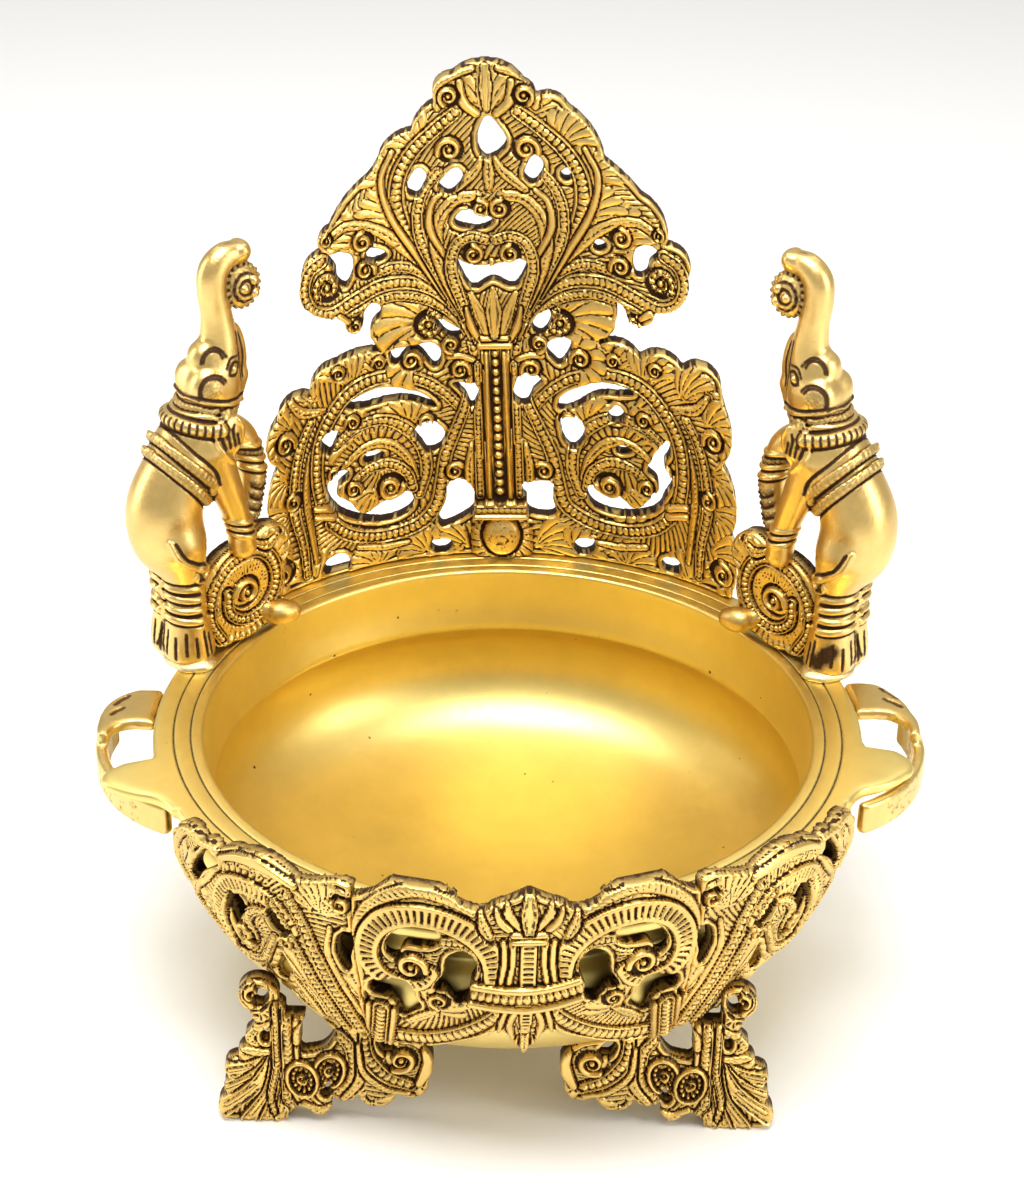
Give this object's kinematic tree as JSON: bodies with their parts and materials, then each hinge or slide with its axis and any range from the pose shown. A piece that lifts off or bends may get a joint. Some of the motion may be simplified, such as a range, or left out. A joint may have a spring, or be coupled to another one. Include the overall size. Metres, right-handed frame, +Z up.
{
  "type": "brass urli bowl",
  "caption": "Wide brass bowl on openwork legs, with strap handles, a pierced front apron, a tall pierced crest behind and a rearing elephant with a scroll wheel on each side.",
  "frame": {"origin": "on the floor under the middle of the bowl", "axes": "+Z up, +Y towards the crest at the back, +X to the viewer's right when looking at the apron"},
  "size_m": [0.3139, 0.276, 0.3245],
  "materials": {
    "turned_brass": "turned and lightly polished, satin inside",
    "handle_brass": "hand polished casting, rough ground edges",
    "cast_brass": "chased casting, dark patina in the recesses",
    "figure_brass": "polished casting with engraved lines",
    "braze": "dull filled braze"
  },
  "bodies": {
    "root": {"bowl": "turned_brass", "handle_left": "handle_brass", "handle_right": "handle_brass", "back_crest": "cast_brass", "apron_centre": "cast_brass", "apron_left": "cast_brass", "apron_right": "cast_brass", "leg_front_left": "cast_brass", "leg_front_right": "cast_brass", "leg_rear_left": "cast_brass", "leg_rear_right": "cast_brass", "elephant_left": "figure_brass", "elephant_right": "figure_brass", "scroll_wheel_left": "cast_brass", "scroll_wheel_right": "cast_brass", "braze_pad_left": "braze", "braze_pad_right": "braze"}
  },
  "joints": []
}
